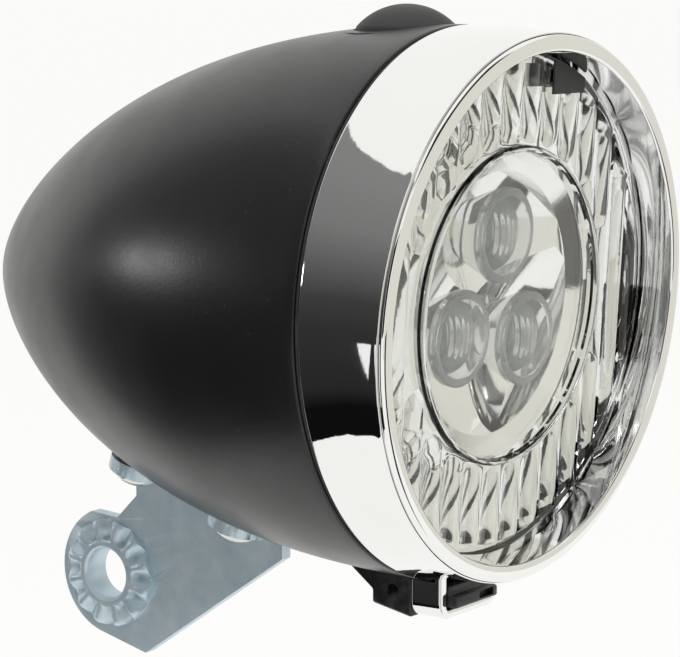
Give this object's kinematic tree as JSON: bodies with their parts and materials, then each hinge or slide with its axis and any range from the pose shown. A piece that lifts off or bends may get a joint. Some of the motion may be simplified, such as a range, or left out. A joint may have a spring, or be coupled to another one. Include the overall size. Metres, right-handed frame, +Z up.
{
  "type": "bicycle headlight",
  "caption": "Bullet-shaped battery bicycle headlight: black shell, tilting chrome bezel with a fluted lens, top push button, snap catch and a riveted bracket with a toothed bolt eye.",
  "frame": {"origin": "centre of the bracket's bolt hole, in the middle of the upright sheet", "axes": "+X along the bolt hole, +Z up, and the lamp faces -Y"},
  "size_m": [0.068, 0.0884, 0.0885],
  "materials": {
    "black_shell": "satin",
    "chrome_plate": "polished",
    "black_rubber": "matte",
    "clear_lens": "polished",
    "bright_reflector": "polished",
    "clear_collimator": "polished",
    "led_yellow": "gloss",
    "green_board": "satin",
    "plain_steel": "satin",
    "spring_bronze": "satin",
    "black_retainer": "matte",
    "white_plastic": "satin",
    "black_switch": "satin",
    "cell_jacket": "gloss",
    "nickel_plate": "polished",
    "zinc_plate": "satin"
  },
  "bodies": {
    "body": {"housing": "black_shell", "seam_gasket": "black_rubber", "switch_body": "black_switch", "switch_board": "green_board", "switch_screws": "plain_steel", "battery_carrier": "black_retainer", "cell_top": "cell_jacket", "cell_left": "cell_jacket", "cell_right": "cell_jacket", "front_terminals": "nickel_plate", "rear_terminals": "nickel_plate", "bracket": "zinc_plate", "rivets": "nickel_plate", "rivet_washers": "plain_steel", "catch_pin": "plain_steel"},
    "front": {"bezel": "chrome_plate", "catch_stirrup": "chrome_plate", "lens_gasket": "black_rubber", "lens": "clear_lens", "reflector": "bright_reflector", "collimator_top": "clear_collimator", "collimator_left": "clear_collimator", "collimator_right": "clear_collimator", "led_chips": "led_yellow", "led_board": "green_board", "board_screws": "plain_steel", "contact_leaves": "spring_bronze", "front_retainer": "black_retainer"},
    "button": {"button_cap": "black_rubber", "switch_plunger": "white_plastic"},
    "catch": {"catch_tongue": "black_shell"}
  },
  "joints": [
    {"name": "front_tilt", "type": "hinge", "parent": "body", "child": "front", "pos_m": [0, -0.0578, 0.075], "axis": [-1, 0, 0], "range_deg": [0, 35]},
    {"name": "button_press", "type": "slide", "parent": "body", "child": "button", "axis": [0, 0, -1], "range_m": [0, 0.0012], "stiffness_N_per_m": 1200},
    {"name": "catch_flex", "type": "hinge", "parent": "body", "child": "catch", "pos_m": [0, -0.0509, 0.0058], "axis": [-1, 0, 0], "range_deg": [0, 2.5], "stiffness_Nm_per_rad": 0.2}
  ]
}
